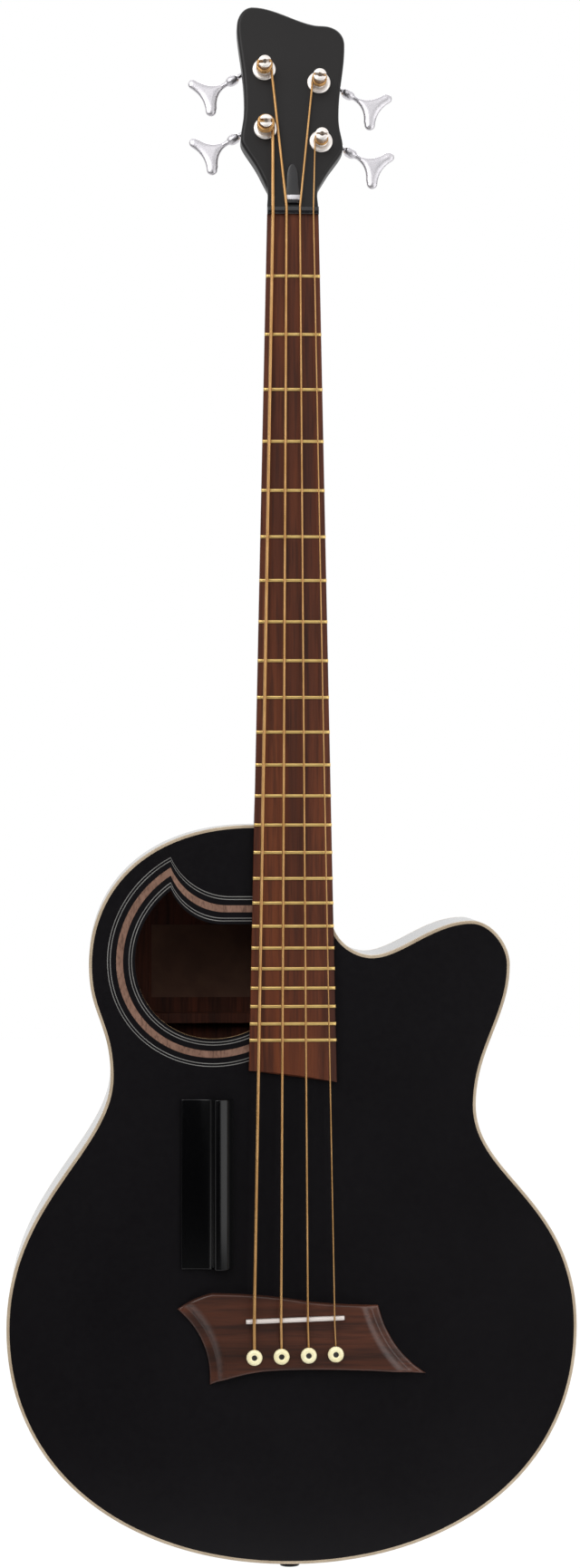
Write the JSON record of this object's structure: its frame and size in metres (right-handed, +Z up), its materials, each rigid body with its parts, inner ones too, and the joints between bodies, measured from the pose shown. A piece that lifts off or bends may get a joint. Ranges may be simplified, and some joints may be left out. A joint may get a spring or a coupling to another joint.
{
  "type": "acoustic bass guitar",
  "caption": "Acoustic bass guitar with a cutaway body, scooped soundhole beside the fingerboard, wing-shaped bridge with pull-out pins, and worm tuners whose keys turn the string posts",
  "frame": {"origin": "the middle of the neck just above the nut, where the arms of a hanger hold it, 14 mm above the nut's string edge and 9 mm behind the fingerboard seam", "axes": "+Z runs up the neck to the headstock, the soundboard faces -Y, +X is the treble side"},
  "size_m": [0.449, 0.1131, 1.2414],
  "materials": {
    "black_satin": "satin black lacquer",
    "black_gloss": "gloss black lacquer",
    "head_satin": "satin charcoal black",
    "cream": "cream binding",
    "rosette_wood": "inlaid reddish brown wood between grey lines",
    "red_brown_wood": "bare reddish brown wood",
    "spruce": "bare pale spruce",
    "board_wood": "oiled reddish brown wood",
    "bridge_wood": "oiled dark brown wood",
    "bone": "off-white, polished",
    "bronze": "bronze wound string",
    "chrome": "polished chrome",
    "brass": "plain brass",
    "steel": "plain steel",
    "black_plastic": "black plastic"
  },
  "bodies": {
    "instrument": {"soundboard": "black_satin", "back_plate": "black_gloss", "bass_side": "black_gloss", "treble_side": "black_gloss", "top_binding": "cream", "back_binding": "cream", "rosette": "rosette_wood", "neck_block": "red_brown_wood", "tail_block": "red_brown_wood", "top_lining": "red_brown_wood", "back_lining": "red_brown_wood", "x_brace_bass": "spruce", "x_brace_treble": "spruce", "waist_brace": "spruce", "bridge_plate": "red_brown_wood", "upper_back_brace": "red_brown_wood", "lower_back_brace": "red_brown_wood", "neck": "head_satin", "fingerboard": "board_wood", "truss_rod": "steel", "truss_rod_cover": "black_plastic", "nut": "black_plastic", "bridge": "bridge_wood", "saddle": "bone", "thumb_rest": "black_gloss", "end_pin": "black_plastic", "strap_button": "black_plastic", "string_e": "bronze", "string_a": "bronze", "string_d": "bronze", "string_g": "bronze", "tuner_bushing_e": "chrome", "tuner_bushing_a": "chrome", "tuner_bushing_d": "chrome", "tuner_bushing_g": "chrome", "tuner_plate_e": "chrome", "tuner_plate_a": "chrome", "tuner_plate_d": "chrome", "tuner_plate_g": "chrome"},
    "key_e": {"tuner_key_e": "chrome"},
    "post_e": {"string_post_e": "chrome", "tuner_gear_e": "brass", "string_winding_e": "bronze"},
    "pin_e": {"bridge_pin_e": "bone"},
    "key_a": {"tuner_key_a": "chrome"},
    "post_a": {"string_post_a": "chrome", "tuner_gear_a": "brass", "string_winding_a": "bronze"},
    "pin_a": {"bridge_pin_a": "bone"},
    "key_d": {"tuner_key_d": "chrome"},
    "post_d": {"string_post_d": "chrome", "tuner_gear_d": "brass", "string_winding_d": "bronze"},
    "pin_d": {"bridge_pin_d": "bone"},
    "key_g": {"tuner_key_g": "chrome"},
    "post_g": {"string_post_g": "chrome", "tuner_gear_g": "brass", "string_winding_g": "bronze"},
    "pin_g": {"bridge_pin_g": "bone"},
    "truss_nut": {"truss_rod_nut": "steel"}
  },
  "joints": [
    {"name": "key_e_turn", "type": "hinge", "parent": "instrument", "child": "key_e", "pos_m": [-0.02748, 0.02924, 0.06213], "axis": [-0.8526, -0.1086, -0.5111], "continuous": true},
    {"name": "post_e_turn", "type": "hinge", "parent": "instrument", "child": "post_e", "pos_m": [-0.0209, 0.00468, 0.05636], "axis": [0, -0.9781, 0.2079], "continuous": true},
    {"name": "key_a_turn", "type": "hinge", "parent": "instrument", "child": "key_a", "pos_m": [-0.02808, 0.03953, 0.11054], "axis": [-0.8526, -0.1086, -0.5111], "continuous": true},
    {"name": "post_a_turn", "type": "hinge", "parent": "instrument", "child": "post_a", "pos_m": [-0.0215, 0.01497, 0.10478], "axis": [0, -0.9781, 0.2079], "continuous": true},
    {"name": "key_d_turn", "type": "hinge", "parent": "instrument", "child": "key_d", "pos_m": [0.02838, 0.0373, 0.10008], "axis": [-0.8526, 0.1086, 0.5111], "continuous": true},
    {"name": "post_d_turn", "type": "hinge", "parent": "instrument", "child": "post_d", "pos_m": [0.0218, 0.01275, 0.09431], "axis": [0, 0.9781, -0.2079], "continuous": true},
    {"name": "key_g_turn", "type": "hinge", "parent": "instrument", "child": "key_g", "pos_m": [0.02948, 0.02703, 0.05176], "axis": [-0.8526, 0.1086, 0.5111], "continuous": true},
    {"name": "post_g_turn", "type": "hinge", "parent": "instrument", "child": "post_g", "pos_m": [0.0229, 0.00248, 0.04599], "axis": [0, 0.9781, -0.2079], "continuous": true},
    {"name": "truss_nut_turn", "type": "hinge", "parent": "instrument", "child": "truss_nut", "pos_m": [0, -0.0026, -0.0031], "axis": [0, 0, 1], "range_deg": [-180, 180]},
    {"name": "pin_e_pull", "type": "slide", "parent": "instrument", "child": "pin_e", "axis": [0, -1, 0], "range_m": [0, 0.03]},
    {"name": "pin_a_pull", "type": "slide", "parent": "instrument", "child": "pin_a", "axis": [0, -1, 0], "range_m": [0, 0.03]},
    {"name": "pin_d_pull", "type": "slide", "parent": "instrument", "child": "pin_d", "axis": [0, -1, 0], "range_m": [0, 0.03]},
    {"name": "pin_g_pull", "type": "slide", "parent": "instrument", "child": "pin_g", "axis": [0, -1, 0], "range_m": [0, 0.03]}
  ],
  "couplings": [
    {"joint": "post_e_turn", "follows": "key_e_turn", "ratio": 0.05},
    {"joint": "post_a_turn", "follows": "key_a_turn", "ratio": 0.05},
    {"joint": "post_d_turn", "follows": "key_d_turn", "ratio": 0.05},
    {"joint": "post_g_turn", "follows": "key_g_turn", "ratio": 0.05}
  ]
}
